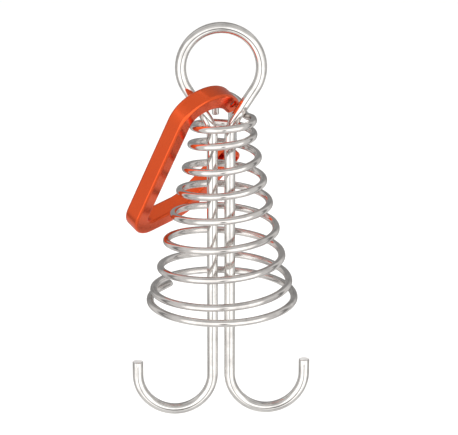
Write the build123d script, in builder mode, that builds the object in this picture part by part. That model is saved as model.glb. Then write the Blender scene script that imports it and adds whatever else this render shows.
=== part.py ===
"""Sprung deck anchor: a bent wire peg with two hooks inside a conical spring, and an aluminium clip.

The origin is on the axis of the peg, on the deck surface that the spring's lowest turn stands on.
+Z is up, the two hooks lie along X, and +Y points through the ring. Lengths are in millimetres.
"""

import os
from math import atan2, cos, degrees, hypot, pi, radians, sin, tan

from build123d import *

# Peg: one wire bent into a ring, two parallel legs and two hooks that turn outwards
rod_wire = 4.2
leg_spacing = 6.7
ring_radius = 15.2
ring_height = 93.2
neck_angle = 33.0
neck_bend_radius = 14.0
hook_radius = 14.65
hook_height = -29.6
hook_tip = 5.5

# Spring: centreline radius and height at each full turn, counted from the front of the lowest one
spring_wire = 2.8
turn_radii = (28.2, 26.3, 23.3, 21.1, 18.3, 15.9, 13.8, 11.6, 11.3)
turn_heights = (0.0, 5.7, 16.0, 27.2, 37.9, 47.0, 56.0, 65.6, 71.9)
spring_side_play = 0.6
spring_lean = 4.7
first_turn = -0.375
last_turn = 8.364
end_pitch = 3.0
points_per_turn = 12
# The top end is kinked up behind the neck and finishes in a short tail
tail_route = ((7.6, 8.6, 77.6), (3.2, 12.6, 79.7), (-0.6, 13.4, 79.0), (-1.5, 13.4, 75.4))
tail_end = (-1.5, 13.4, 71.8)

# Clip: a flat loop of rounded bar, drawn in its own plane with the gate's hinge at the origin
hinge_place = Vector(2.55, 4.42, 80.13)
spine_direction = Vector(0.3497, -0.3309, 0.8765)
inward_direction = Vector(0.7077, 0.7063, -0.0157)
bar_thickness = 7.0
bar_width = 6.4
bar_edge = 1.0
spine_offset = -22.9
spine_top = -7.0
spine_bottom = -51.6
crown_radius = 8.5
crown_end_heading = 29.0
arch_end = Vector(1.0, -1.56)
lug_radius = 3.2
corner_radius = 6.7
arm_heading = 14.0
arm_bend_radius = 14.0
nose = Vector(18.3, -31.85)
nose_heading = 56.0

# Gate, its pins and its return spring
gate_bar = 2.8
gate_edge = 1.2
gate_offset = 2.2
tongue_thickness = 2.0
tongue_width = 2.6
eye_radius = 2.1
slot_thickness = 2.2
running_gap = 0.3
slot_reach = 12.0
slot_angles = (-46.0, 60.0)
pin_radius = 1.2
pin_fit = 0.02
pivot_clearance = 0.05
notch_clearance = 0.1
pin_recess = 0.8
recess_radius = 1.6
heel_distance = 1.7
heel_offset = 1.1
bore_heading = 158.0
bore_radius = 1.0
bore_end = 8.0
plunger_radius = 0.9
plunger_head = 2.0
stem_radius = 0.42
stem_end = 6.2
coil_wire = 0.35
coil_radius = 0.72
coil_start = 4.3
coil_turns = 6


def ramp(values, turn):
    """Value at a turn number, in a straight line between the whole turns."""
    place = min(max(turn, 0.0), len(values) - 1.0)
    step = min(int(place), len(values) - 2)
    return values[step] + (values[step + 1] - values[step]) * (place - step)


# --- Peg -------------------------------------------------------------------------------------

leg = leg_spacing / 2
flare_x = ring_radius * cos(radians(neck_angle))
flare_z = ring_height - ring_radius * sin(radians(neck_angle))
bend_x = leg + neck_bend_radius * (1 - cos(radians(neck_angle)))
bend_z = flare_z - (flare_x - bend_x) / sin(radians(neck_angle)) * cos(radians(neck_angle))
leg_top = bend_z - neck_bend_radius * sin(radians(neck_angle))
mid_bend = radians(neck_angle / 2)
mid_bend_x = leg + neck_bend_radius * (1 - cos(mid_bend))
mid_bend_z = leg_top + neck_bend_radius * sin(mid_bend)
hook_x = leg + hook_radius
tip_x = leg + 2 * hook_radius

with BuildPart() as hook_rod:
    with BuildLine(Plane.XZ) as rod_path:
        for side in (-1, 1):
            Line((side * tip_x, hook_height + hook_tip), (side * tip_x, hook_height))
            ThreePointArc(
                (side * tip_x, hook_height),
                (side * hook_x, hook_height - hook_radius),
                (side * leg, hook_height),
            )
            Line((side * leg, hook_height), (side * leg, leg_top))
            ThreePointArc(
                (side * leg, leg_top),
                (side * mid_bend_x, mid_bend_z),
                (side * bend_x, bend_z),
            )
            Line((side * bend_x, bend_z), (side * flare_x, flare_z))
        ThreePointArc(
            (-flare_x, flare_z),
            (0, ring_height + ring_radius),
            (flare_x, flare_z),
        )
    with BuildSketch(Plane((-tip_x, 0, hook_height + hook_tip))):
        Circle(rod_wire / 2)
    sweep(path=rod_path.wires()[0])
hook_rod.part.label = "hook_rod"
export_step(hook_rod.part, "parts/hook_rod.step")

# --- Spring ----------------------------------------------------------------------------------


def spring_point(turn):
    """Centre of the spring's wire; turn 0 is at the front, and turns go up counter-clockwise."""
    angle = 2 * pi * (turn - 0.25)
    radius = ramp(turn_radii, turn)
    height = ramp(turn_heights, turn)
    if turn > len(turn_radii) - 1:
        height += (turn - len(turn_radii) + 1) * end_pitch
    lean = spring_lean * height / turn_heights[-1]
    return (
        spring_side_play + radius * cos(angle),
        radius * sin(angle) - lean,
        spring_wire / 2 + height,
    )


steps = round((last_turn - first_turn) * points_per_turn)
coil_points = [
    spring_point(first_turn + (last_turn - first_turn) * i / steps) for i in range(steps + 1)
]
with BuildPart() as cone_spring:
    with BuildLine() as coil_path:
        Spline(*coil_points, *tail_route, tail_end)
    with BuildSketch(Plane(origin=coil_path.line @ 0, z_dir=coil_path.line % 0)):
        Circle(spring_wire / 2)
    sweep(is_frenet=True)
cone_spring.part.label = "cone_spring"
export_step(cone_spring.part, "parts/cone_spring.step")

# --- Clip body -------------------------------------------------------------------------------

clip_plane = Plane(
    origin=hinge_place,
    x_dir=inward_direction,
    z_dir=inward_direction.cross(spine_direction),
)


def heading(angle):
    """Unit vector in the clip's plane."""
    return Vector(cos(radians(angle)), sin(radians(angle)))


def clip_layer(height):
    """The clip's plane, moved along its normal."""
    return clip_plane.offset(height)


end_radius = bar_width / 2
crown_centre = Vector(spine_offset + crown_radius, spine_top)
crown_end = crown_centre + heading(90 + crown_end_heading) * crown_radius
corner_centre = Vector(spine_offset + corner_radius, spine_bottom)
arm_start = corner_centre + heading(arm_heading - 90) * corner_radius
hinge_reach = hypot(nose.X, nose.Y)
gate_heading = degrees(atan2(nose.Y, nose.X))
gate_run = heading(gate_heading)
closing_run = heading(gate_heading + 90)
# The gate's full bar lies between two circles about the hinge, clear of the lug and of the nose
root_radius = hypot(arch_end.X, arch_end.Y) + lug_radius + running_gap
tip_radius = hinge_reach - end_radius - running_gap
bar_start = gate_run * root_radius + closing_run * gate_offset
bar_finish = gate_run * tip_radius + closing_run * gate_offset
sweep_radius = hinge_reach + eye_radius + running_gap
sweep_reach = 3 * end_radius

# The arm's two straight runs meet where this line from the nose crosses the one from the corner
arm_run = heading(arm_heading)
nose_run = heading(nose_heading)
across = nose - arm_start
knee_distance = (across.X * nose_run.Y - across.Y * nose_run.X) / (
    arm_run.X * nose_run.Y - arm_run.Y * nose_run.X
)
knee = arm_start + arm_run * knee_distance
bend_setback = arm_bend_radius * tan(radians(nose_heading - arm_heading) / 2)
bend_start = knee + nose_run * bend_setback
bend_end = knee - arm_run * bend_setback

with BuildLine() as bar_path:
    Line(nose, bend_start)
    TangentArc(bend_start, bend_end, tangent=nose_run * -1)
    Line(bend_end, arm_start)
    TangentArc(arm_start, (spine_offset, spine_bottom), tangent=arm_run * -1)
    Line((spine_offset, spine_bottom), (spine_offset, spine_top))
    TangentArc((spine_offset, spine_top), crown_end, tangent=(0, 1))
    TangentArc(crown_end, arch_end, tangent=heading(crown_end_heading))

# The plunger's bore runs back into the arch, beside the hinge pin on the loop's inner side
bore_run = heading(bore_heading)
bore_axis_point = heading(bore_heading + 90) * heel_offset


def bore_plane(distance):
    """Square to the plunger's axis, that far from the hinge pin; its Z points into the arch."""
    middle = bore_axis_point + bore_run * distance
    return Plane(
        origin=clip_plane.from_local_coords(middle),
        x_dir=clip_plane.z_dir,
        z_dir=clip_plane.from_local_coords(bore_run) - clip_plane.origin,
    )


with BuildPart() as clip_body:
    with BuildSketch(clip_layer(-bar_thickness / 2)):
        trace(bar_path.line, line_width=bar_width)
        with Locations(arch_end):
            Circle(lug_radius)
        with Locations(nose):
            Circle(end_radius)
    extrude(amount=bar_thickness)
    flats = clip_body.faces().filter_by(Axis(clip_plane.origin, clip_plane.z_dir))
    fillet(flats.edges(), bar_edge)
    # Slots for the gate's two tongues: the sweep of the tip at the nose, and a wedge at the hinge
    with BuildSketch(clip_layer(-slot_thickness / 2)):
        Circle(sweep_radius)
        with Locations(nose):
            Circle(sweep_reach, mode=Mode.INTERSECT)
        Circle(eye_radius + running_gap)
        with BuildLine():
            Polyline(
                (0, 0),
                heading(gate_heading + slot_angles[0]) * slot_reach,
                heading(gate_heading + slot_angles[1]) * slot_reach,
                close=True,
            )
        make_face()
    extrude(amount=slot_thickness, mode=Mode.SUBTRACT)
    # Holes for the two pins, with a wider recess at each mouth
    for place in (Vector(0, 0), nose):
        with BuildSketch(clip_layer(-bar_thickness / 2)):
            with Locations(place):
                Circle(pin_radius + pin_fit)
        extrude(amount=bar_thickness, mode=Mode.SUBTRACT)
        for mouth in (-bar_thickness / 2, bar_thickness / 2 - pin_recess):
            with BuildSketch(clip_layer(mouth)):
                with Locations(place):
                    Circle(recess_radius)
            extrude(amount=pin_recess, mode=Mode.SUBTRACT)
    with BuildSketch(bore_plane(0)):
        Circle(bore_radius)
    extrude(amount=bore_end, mode=Mode.SUBTRACT)
clip_body.part.label = "clip_body"
export_step(clip_body.part, "parts/clip_body.step")

# --- Gate, pins, plunger and return spring ---------------------------------------------------

with BuildPart() as clip_gate:
    # Full bar, set outwards from the line between the two pins
    with BuildSketch(clip_layer(-gate_bar / 2)):
        with BuildLine():
            Line(bar_start, bar_finish)
        trace(line_width=gate_bar)
    extrude(amount=gate_bar)
    long_way = clip_plane.from_local_coords(gate_run) - clip_plane.origin
    fillet(clip_gate.edges().filter_by(Axis(clip_plane.origin, long_way)), gate_edge)
    # Thin tongue through the bar to an eye round each pin
    with BuildSketch(clip_layer(-tongue_thickness / 2)):
        with BuildLine():
            Polyline((0, 0), bar_start, bar_finish, nose)
        trace(line_width=tongue_width)
        with Locations((0, 0), nose):
            Circle(eye_radius)
    extrude(amount=tongue_thickness)
    # Pivot hole, the catch that hooks the nose pin, and the flat heel that the plunger pushes
    with BuildSketch(clip_layer(-tongue_thickness / 2)):
        Circle(pin_radius + pivot_clearance)
        with Locations(nose):
            Circle(pin_radius + notch_clearance)
        with Locations(Location(nose + closing_run * eye_radius, gate_heading + 90)):
            Rectangle(2 * eye_radius, 2 * (pin_radius + notch_clearance))
        heel_middle = bore_run * (heel_distance + eye_radius)
        with Locations(Location(heel_middle, bore_heading)):
            Rectangle(2 * eye_radius, 4 * eye_radius)
    extrude(amount=tongue_thickness, mode=Mode.SUBTRACT)
clip_gate.part.label = "clip_gate"
export_step(clip_gate.part, "parts/clip_gate.step")

for pin_name, place in (("hinge_pin", Vector(0, 0)), ("nose_pin", nose)):
    with BuildPart() as pin:
        with BuildSketch(clip_layer(pin_recess - bar_thickness / 2)):
            with Locations(place):
                Circle(pin_radius)
        extrude(amount=bar_thickness - 2 * pin_recess)
    pin.part.label = pin_name
    export_step(pin.part, f"parts/{pin_name}.step")

with BuildPart() as gate_plunger:
    with BuildSketch(bore_plane(heel_distance)):
        Circle(plunger_radius)
    extrude(amount=plunger_head)
    with BuildSketch(bore_plane(heel_distance + plunger_head)):
        Circle(stem_radius)
    extrude(amount=stem_end - heel_distance - plunger_head)
gate_plunger.part.label = "gate_plunger"
export_step(gate_plunger.part, "parts/gate_plunger.step")

coil_length = bore_end - coil_start - coil_wire
with BuildPart() as gate_spring:
    coil_plane = bore_plane(coil_start + coil_wire / 2)
    with BuildLine() as small_coil:
        Helix(
            coil_length / coil_turns,
            coil_length,
            coil_radius,
            center=coil_plane.origin,
            direction=coil_plane.z_dir,
        )
    with BuildSketch(Plane(origin=small_coil.line @ 0, z_dir=small_coil.line % 0)):
        Circle(coil_wire / 2)
    sweep(is_frenet=True)
gate_spring.part.label = "gate_spring"
export_step(gate_spring.part, "parts/gate_spring.step")
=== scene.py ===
"""Sprung deck anchor: polished steel peg and conical spring with an orange anodised snap clip."""

from math import cos, pi, radians, sin

import bpy
import numpy as np
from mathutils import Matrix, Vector


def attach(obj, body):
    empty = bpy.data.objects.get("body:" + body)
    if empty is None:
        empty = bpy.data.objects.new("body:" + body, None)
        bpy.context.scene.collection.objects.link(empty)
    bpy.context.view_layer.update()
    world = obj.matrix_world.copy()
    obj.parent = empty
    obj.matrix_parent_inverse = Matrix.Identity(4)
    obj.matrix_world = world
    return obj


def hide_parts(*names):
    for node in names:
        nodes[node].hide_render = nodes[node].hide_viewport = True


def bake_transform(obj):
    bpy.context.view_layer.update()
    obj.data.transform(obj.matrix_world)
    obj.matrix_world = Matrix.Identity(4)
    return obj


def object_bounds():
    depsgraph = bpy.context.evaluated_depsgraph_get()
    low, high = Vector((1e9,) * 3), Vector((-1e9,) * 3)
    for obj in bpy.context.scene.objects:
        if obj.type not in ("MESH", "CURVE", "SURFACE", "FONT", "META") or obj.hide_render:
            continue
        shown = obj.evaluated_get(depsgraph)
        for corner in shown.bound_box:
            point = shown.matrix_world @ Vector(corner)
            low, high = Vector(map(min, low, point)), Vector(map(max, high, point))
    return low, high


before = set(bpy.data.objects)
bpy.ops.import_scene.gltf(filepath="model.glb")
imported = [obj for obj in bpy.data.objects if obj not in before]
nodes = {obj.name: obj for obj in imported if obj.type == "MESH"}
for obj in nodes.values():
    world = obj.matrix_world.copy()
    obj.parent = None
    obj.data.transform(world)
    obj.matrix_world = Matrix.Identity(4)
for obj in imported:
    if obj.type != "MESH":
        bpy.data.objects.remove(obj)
cad_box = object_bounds()
MM = 0.001

# --- Peg and spring, in millimetres ------------------------------------------------------------

rod_wire = 4.2
leg_spacing = 6.7
ring_radius = 15.2
ring_height = 93.2
neck_angle = 33.0
neck_bend_radius = 14.0
hook_radius = 14.65
hook_height = -29.6
hook_tip = 5.5

spring_wire = 2.8
turn_radii = (28.2, 26.3, 23.3, 21.1, 18.3, 15.9, 13.8, 11.6, 11.3)
turn_heights = (0.0, 5.7, 16.0, 27.2, 37.9, 47.0, 56.0, 65.6, 71.9)
spring_side_play = 0.6
spring_lean = 4.7
first_turn = -0.375
last_turn = 8.364
end_pitch = 3.0
tail_route = (
    (7.6, 8.6, 77.6), (3.2, 12.6, 79.7), (-0.6, 13.4, 79.0), (-1.5, 13.4, 75.4), (-1.5, 13.4, 71.8),
)

# --- Mesh detail ---------------------------------------------------------------------------------

bend_step = radians(4.0)
straight_step = 3.0
knots_per_turn = 12
points_per_knot = 7
spring_sides = 28
peg_sides = 40
cut_chamfer = 0.25
same_place = 1e-4
# Any direction that is neither along the peg's wire nor along the spring's at its start
start_side = (0.3, 1.0, 0.2)

# --- Stage ---------------------------------------------------------------------------------------

# The floor lies this far below the hooks, so that the peg can be pushed down in a pose
peg_travel = 16.0
floor_half_size = 6.0
paper_white = (0.93, 0.93, 0.93, 1.0)
# Name, place, width and height in metres, power in watts
softboxes = (
    ("key_softbox", (-0.55, -0.55, 0.75), 0.5, 0.7, 2.2),
    ("fill_softbox", (0.75, -0.4, 0.45), 0.4, 0.7, 1.2),
    ("top_softbox", (0.05, 0.25, 0.9), 0.9, 0.5, 2.5),
)
softbox_aim = Vector((0, 0, 0.03))
warm_white = (1.0, 0.99, 0.975)

camera_azimuth = radians(-2.66)
camera_elevation = radians(17.5)
camera_distance = 0.757
camera_target = Vector((0, 0, 0.0281))


# --- Mesh helpers ------------------------------------------------------------------------------

def arc(centre, radius, start, end):
    """Points along an arc in the XZ plane, angles in radians from +X towards +Z."""
    count = max(2, round(abs(end - start) / bend_step) + 1)
    return [
        (centre[0] + radius * cos(a), 0.0, centre[1] + radius * sin(a))
        for a in np.linspace(start, end, count)
    ]


def run(start, end):
    """Points along a straight stretch, both ends included."""
    start, end = np.array(start, float), np.array(end, float)
    count = max(2, round(np.linalg.norm(end - start) / straight_step) + 1)
    return [tuple(start + (end - start) * t) for t in np.linspace(0, 1, count)]


def without_repeats(points):
    """The points, leaving out each one that lies on the one before it."""
    kept = [np.array(points[0], float)]
    for p in points[1:]:
        if np.linalg.norm(np.array(p) - kept[-1]) > same_place:
            kept.append(np.array(p, float))
    return np.array(kept)


def smooth_route(points, per_span):
    """A Catmull-Rom curve through the points."""
    p = np.array(points, float)
    p = np.vstack([2 * p[0] - p[1], p, 2 * p[-1] - p[-2]])
    out = []
    for i in range(1, len(p) - 2):
        a, b, c, d = p[i - 1:i + 3]
        for t in np.arange(per_span) / per_span:
            out.append(
                0.5 * (2 * b + (c - a) * t + (2 * a - 5 * b + 4 * c - d) * t**2
                       + (3 * b - a - 3 * c + d) * t**3)
            )
    out.append(p[-2])
    return np.array(out)


def wire_mesh(name, route, radius, sides):
    """Round wire along a route in mm, with chamfered cut ends.

    UVs are in mm along and round the wire. The cut ends use the second material.
    Returns the object, and the height of the wire's centre for each vertex.
    """
    route = without_repeats(route)
    tangents = np.gradient(route, axis=0)
    tangents /= np.linalg.norm(tangents, axis=1)[:, None]
    normal = np.cross(tangents[0], start_side)
    normal /= np.linalg.norm(normal)
    rings, heights = [], []
    lengths = np.concatenate([[0], np.cumsum(np.linalg.norm(np.diff(route, axis=0), axis=1))])
    last = len(route) - 1
    for i, (place, tangent) in enumerate(zip(route, tangents)):
        normal = normal - tangent * (normal @ tangent)
        normal /= np.linalg.norm(normal)
        side = np.cross(tangent, normal)
        sections = [(0.0, radius)]
        if i == 0:
            sections = [(0.0, radius - cut_chamfer), (cut_chamfer, radius)]
        if i == last:
            sections = [(-cut_chamfer, radius), (0.0, radius - cut_chamfer)]
        for shift, r in sections:
            rings.append([
                place + tangent * shift + (normal * cos(a) + side * sin(a)) * r
                for a in np.arange(sides) * 2 * pi / sides
            ])
            heights.append((lengths[i] + shift, place[2]))
    verts = np.array(rings).reshape(-1, 3)
    faces = []
    for i in range(len(rings) - 1):
        for k in range(sides):
            n = (k + 1) % sides
            faces.append((i * sides + k, i * sides + n, (i + 1) * sides + n, (i + 1) * sides + k))
    faces.append(tuple(range(sides - 1, -1, -1)))
    top = (len(rings) - 1) * sides
    faces.append(tuple(range(top, top + sides)))
    mesh = bpy.data.meshes.new(name)
    mesh.from_pydata([tuple(v * MM) for v in verts], [], faces)
    layer = mesh.uv_layers.new(name="wire")
    girth = 2 * pi * radius
    for poly in mesh.polygons:
        poly.use_smooth = len(poly.vertices) == 4
        poly.material_index = 0 if poly.use_smooth else 1
        for corner, loop in enumerate(poly.loop_indices):
            v = poly.vertices[corner]
            ring, k = divmod(v, sides)
            if poly.use_smooth and k == 0 and corner in (1, 2):
                k = sides
            layer.data[loop].uv = (heights[ring][0], girth * k / sides)
    mesh.update()
    piece = bpy.data.objects.new(name, mesh)
    bpy.context.scene.collection.objects.link(piece)
    centre_heights = np.repeat([h[1] for h in heights], sides)
    return piece, centre_heights


# --- Materials ---------------------------------------------------------------------------------

class Nodes:
    """A small helper for building one material's node tree."""

    def __init__(self, name):
        self.material = bpy.data.materials.new(name)
        self.material.use_nodes = True
        self.tree = self.material.node_tree
        self.shader = self.tree.nodes["Principled BSDF"]

    def add(self, kind, **values):
        node = self.tree.nodes.new(kind)
        for key, value in values.items():
            if key in node.inputs:
                node.inputs[key].default_value = value
            else:
                setattr(node, key, value)
        return node

    def link(self, source, target):
        self.tree.links.new(source, target)

    def set(self, **values):
        for key, value in values.items():
            self.shader.inputs[key.replace("_", " ")].default_value = value

    def noise(self, place, scale, detail, roughness):
        node = self.add("ShaderNodeTexNoise", Scale=scale, Detail=detail, Roughness=roughness)
        self.link(place, node.inputs["Vector"])
        return node.outputs["Fac"]

    def vary_roughness(self, value, span, roughness):
        """Roughness between two levels, as the value goes over its span."""
        node = self.add("ShaderNodeMapRange")
        for end, at, level in zip(("Min", "Max"), span, roughness):
            node.inputs["From " + end].default_value = at
            node.inputs["To " + end].default_value = level
        self.link(value, node.inputs["Value"])
        self.link(node.outputs["Result"], self.shader.inputs["Roughness"])

    def vary_colour(self, value, span, colours):
        """Base colour between two colours, as the value goes over its span."""
        node = self.add("ShaderNodeValToRGB")
        for element, at, colour in zip(node.color_ramp.elements, span, colours):
            element.position = at
            element.color = (*colour, 1.0)
        self.link(value, node.inputs["Fac"])
        self.link(node.outputs["Color"], self.shader.inputs["Base Color"])

    def relief(self, height, strength, distance):
        """Fine relief in the surface, its distance in metres."""
        node = self.add("ShaderNodeBump", Strength=strength, Distance=distance)
        self.link(height, node.inputs["Height"])
        self.link(node.outputs["Normal"], self.shader.inputs["Normal"])


# Stretch of the noise: along the wire, round it, and not used; or the same every way for plain metal
drawn_line_scale = (0.012, 0.55, 1.0)
plain_grain_scale = (900, 900, 900)
deep_orange = (0.93, 0.112, 0.026)
bright_orange = (0.97, 0.128, 0.031)


def steel(name, base, roughness, drawn=True, metallic=1.0):
    """Stainless steel with uneven polish; drawn wire also has fine lines along it."""
    m = Nodes(name)
    m.set(Metallic=metallic)
    place = m.add("ShaderNodeTexCoord")
    mapping = m.add("ShaderNodeMapping")
    mapping.inputs["Scale"].default_value = drawn_line_scale if drawn else plain_grain_scale
    m.link(place.outputs["UV" if drawn else "Object"], mapping.inputs["Vector"])
    lines = m.noise(mapping.outputs["Vector"], 3.0, 4.0, 0.6)
    patches = m.noise(place.outputs["Object"], 160.0, 3.0, 0.55)
    wear = m.add("ShaderNodeMix", data_type="FLOAT")
    wear.inputs[0].default_value = 0.5
    m.link(lines, wear.inputs[2])
    m.link(patches, wear.inputs[3])
    m.vary_roughness(wear.outputs[0], (0.3, 0.7), (roughness * 0.6, roughness * 1.5))
    m.vary_colour(wear.outputs[0], (0.40, 0.53), ([c * 0.74 for c in base], base))
    m.relief(lines, 0.05, 0.00005)
    return m.material


def anodised(name):
    """Glossy orange anodised aluminium, with faint tumbling marks and small colour changes."""
    m = Nodes(name)
    m.set(Metallic=0.93, Coat_Weight=0.12, Coat_Roughness=0.08)
    place = m.add("ShaderNodeTexCoord")
    cloud = m.noise(place.outputs["Object"], 40.0, 3.0, 0.5)
    grain = m.noise(place.outputs["Object"], 2600.0, 2.0, 0.5)
    m.vary_roughness(grain, (0.0, 1.0), (0.18, 0.28))
    m.vary_colour(cloud, (0.3, 0.7), (deep_orange, bright_orange))
    m.relief(grain, 0.06, 0.00004)
    return m.material


polished = steel("polished_steel", (0.84, 0.82, 0.80), 0.07)
spring_steel = steel("spring_steel", (0.82, 0.79, 0.77), 0.09)
cut_steel = steel("cut_end_steel", (0.92, 0.91, 0.90), 0.5, drawn=False, metallic=0.4)
bare_metal = steel("bare_aluminium", (0.78, 0.78, 0.78), 0.25, drawn=False)
# Pins, plunger and gate spring: their own grey-brown colour, darkened and made less metallic as painted
# shade, so the pin in its hole reads dark instead of reflecting the orange body
pin_dark_metal_painted_shade = steel("pin_steel", (0.30, 0.27, 0.24), 0.4, drawn=False, metallic=0.6)
orange = anodised("orange_anodised")


# --- Peg ---------------------------------------------------------------------------------------

def peg_route():
    """Centreline of the bent wire, from the left hook's tip over the ring to the right one's."""
    leg = leg_spacing / 2
    lean = radians(neck_angle)
    flare_x = ring_radius * cos(lean)
    flare_z = ring_height - ring_radius * sin(lean)
    bend_x = leg + neck_bend_radius * (1 - cos(lean))
    bend_z = flare_z - (flare_x - bend_x) / sin(lean) * cos(lean)
    leg_top = bend_z - neck_bend_radius * sin(lean)
    right = run((leg + 2 * hook_radius, 0, hook_height + hook_tip), (leg + 2 * hook_radius, 0, hook_height))
    right += arc((leg + hook_radius, hook_height), hook_radius, 0, -pi)
    right += run((leg, 0, hook_height), (leg, 0, leg_top))
    right += arc((leg + neck_bend_radius, leg_top), neck_bend_radius, pi, pi - lean)
    right += run((bend_x, 0, bend_z), (flare_x, 0, flare_z))
    right += arc((0, ring_height), ring_radius, -lean, pi / 2)
    left = [(-x, y, z) for x, y, z in right]
    return left + right[::-1]


peg, _ = wire_mesh("peg_wire", peg_route(), rod_wire / 2, peg_sides)
peg.data.materials.append(polished)
peg.data.materials.append(cut_steel)
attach(peg, "rod")
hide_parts("hook_rod")


# --- Spring ------------------------------------------------------------------------------------

def at_turn(values, turn):
    place = min(max(turn, 0.0), len(values) - 1.0)
    return float(np.interp(place, range(len(values)), values))


def coil_point(turn):
    """Centre of the spring's wire; turn 0 is at the front, and turns go up counter-clockwise."""
    angle = 2 * pi * (turn - 0.25)
    radius = at_turn(turn_radii, turn)
    height = at_turn(turn_heights, turn) + max(turn - len(turn_radii) + 1, 0.0) * end_pitch
    lean = spring_lean * height / turn_heights[-1]
    x = spring_side_play + radius * cos(angle)
    return (x, radius * sin(angle) - lean, spring_wire / 2 + height)


def spring_route():
    """The turns, rounded where the pitch changes, and the kinked tail at the top."""
    knots = round((last_turn - first_turn) * knots_per_turn)
    coarse = [coil_point(t) for t in np.linspace(first_turn, last_turn, knots + 1)]
    return smooth_route(coarse + list(tail_route), points_per_knot)


spring, heights = wire_mesh("spring_wire", spring_route(), spring_wire / 2, spring_sides)
spring.data.materials.append(spring_steel)
spring.data.materials.append(cut_steel)
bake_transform(spring)
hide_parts("cone_spring")


# --- Clip --------------------------------------------------------------------------------------

for name, material in (
    ("clip_body", orange), ("clip_gate", bare_metal), ("hinge_pin", pin_dark_metal_painted_shade),
    ("nose_pin", pin_dark_metal_painted_shade), ("gate_plunger", pin_dark_metal_painted_shade), ("gate_spring", pin_dark_metal_painted_shade),
):
    piece = nodes[name]
    piece.data.materials.clear()
    piece.data.materials.append(material)


# --- Floor, light and camera -------------------------------------------------------------------

# What the polished metal reflects: soft patches round the object. Bearings are in degrees from the
# front, the same on both sides, heights in degrees above the horizon, then half sizes, soft edge, level
reflection_base = 0.68
reflection_patches = (
    (34.0, -15.0, 31.0, 26.0, 6.0, 1.45),
    (24.0, 15.0, 40.0, 10.5, 6.0, 1.55),
    (90.0, 80.0, 120.0, 30.0, 10.0, 0.60),
    (180.0, 20.0, 40.0, 45.0, 14.0, 0.30),
    (106.0, -10.0, 7.0, 40.0, 5.0, 0.25),
    (0.0, -15.0, 6.0, 10.0, 5.0, 0.08),
    (90.0, -80.0, 120.0, 30.0, 12.0, 0.72),
)


def studio_world():
    """White to the eye and to matt surfaces; polished surfaces see softboxes and dark gaps."""
    world = bpy.data.worlds.new("studio")
    world.use_nodes = True
    bpy.context.scene.world = world
    tree = world.node_tree

    def add(kind, **values):
        node = tree.nodes.new(kind)
        for key, value in values.items():
            setattr(node, key, value)
        return node

    def calculate(operation, first, second=None):
        node = add("ShaderNodeMath", operation=operation)
        for slot, value in enumerate((first, second)):
            if value is None:
                continue
            if isinstance(value, (int, float)):
                node.inputs[slot].default_value = value
            else:
                tree.links.new(value, node.inputs[slot])
        return node.outputs[0]

    def near(value, centre, half, soft):
        """1 within half of the centre, falling smoothly to 0 over twice the soft edge."""
        node = add("ShaderNodeMapRange", interpolation_type="SMOOTHSTEP")
        away = calculate("ABSOLUTE", calculate("SUBTRACT", value, centre))
        tree.links.new(away, node.inputs["Value"])
        node.inputs["From Min"].default_value = half + soft
        node.inputs["From Max"].default_value = half - soft
        return node.outputs["Result"]

    coord = add("ShaderNodeTexCoord")
    parts = add("ShaderNodeSeparateXYZ")
    tree.links.new(coord.outputs["Generated"], parts.inputs[0])
    x, y, z = parts.outputs
    turn = calculate("ARCTAN2", x, calculate("MULTIPLY", y, -1.0))
    bearing = calculate("ABSOLUTE", calculate("DEGREES", turn))
    height = calculate("DEGREES", calculate("ARCSINE", z))
    level = reflection_base
    for bearing_0, height_0, half_bearing, half_height, soft, patch in reflection_patches:
        mask = calculate(
            "MULTIPLY",
            near(bearing, bearing_0, half_bearing, soft),
            near(height, height_0, half_height, soft),
        )
        level = calculate("ADD", calculate("MULTIPLY", mask, calculate("SUBTRACT", patch, level)), level)
    rays = add("ShaderNodeLightPath")
    glossy = add("ShaderNodeMix", data_type="FLOAT")
    tree.links.new(rays.outputs["Is Glossy Ray"], glossy.inputs[0])
    glossy.inputs[2].default_value = 1.0
    tree.links.new(level, glossy.inputs[3])
    tint = add("ShaderNodeCombineColor")
    for slot, share in enumerate(warm_white):
        tree.links.new(calculate("MULTIPLY", glossy.outputs[0], share), tint.inputs[slot])
    tree.links.new(tint.outputs[0], tree.nodes["Background"].inputs["Color"])


def floor_and_light():
    floor_z = cad_box[0][2] - peg_travel * MM
    half = floor_half_size
    mesh = bpy.data.meshes.new("floor")
    mesh.from_pydata(
        [(-half, -half, floor_z), (half, -half, floor_z), (half, half, floor_z), (-half, half, floor_z)],
        [], [(0, 1, 2, 3)],
    )
    floor = bpy.data.objects.new("floor", mesh)
    bpy.context.scene.collection.objects.link(floor)
    paper = Nodes("white_paper")
    paper.set(Base_Color=paper_white, Roughness=0.9)
    floor.data.materials.append(paper.material)
    floor.visible_glossy = False

    studio_world()

    for name, place, width, height, power in softboxes:
        light = bpy.data.lights.new(name, "AREA")
        light.shape = "RECTANGLE"
        light.size = width
        light.size_y = height
        light.energy = power
        lamp = bpy.data.objects.new(name, light)
        lamp.location = place
        lamp.visible_glossy = False
        lamp.rotation_euler = (softbox_aim - Vector(place)).to_track_quat("-Z", "Y").to_euler()
        bpy.context.scene.collection.objects.link(lamp)


def camera():
    azimuth, elevation = camera_azimuth, camera_elevation
    back = Vector((sin(azimuth) * cos(elevation), -cos(azimuth) * cos(elevation), sin(elevation)))
    data = bpy.data.cameras.new("camera")
    data.lens = 154.7
    data.sensor_width = 36.0
    data.shift_x = 0.0173
    data.shift_y = 0.0343
    data.clip_start = 0.05
    lens = bpy.data.objects.new("camera", data)
    lens.location = camera_target + back * camera_distance
    lens.rotation_euler = (-back).to_track_quat("-Z", "Y").to_euler()
    bpy.context.scene.collection.objects.link(lens)
    bpy.context.scene.camera = lens


floor_and_light()
camera()
bpy.context.scene.view_settings.view_transform = "Standard"
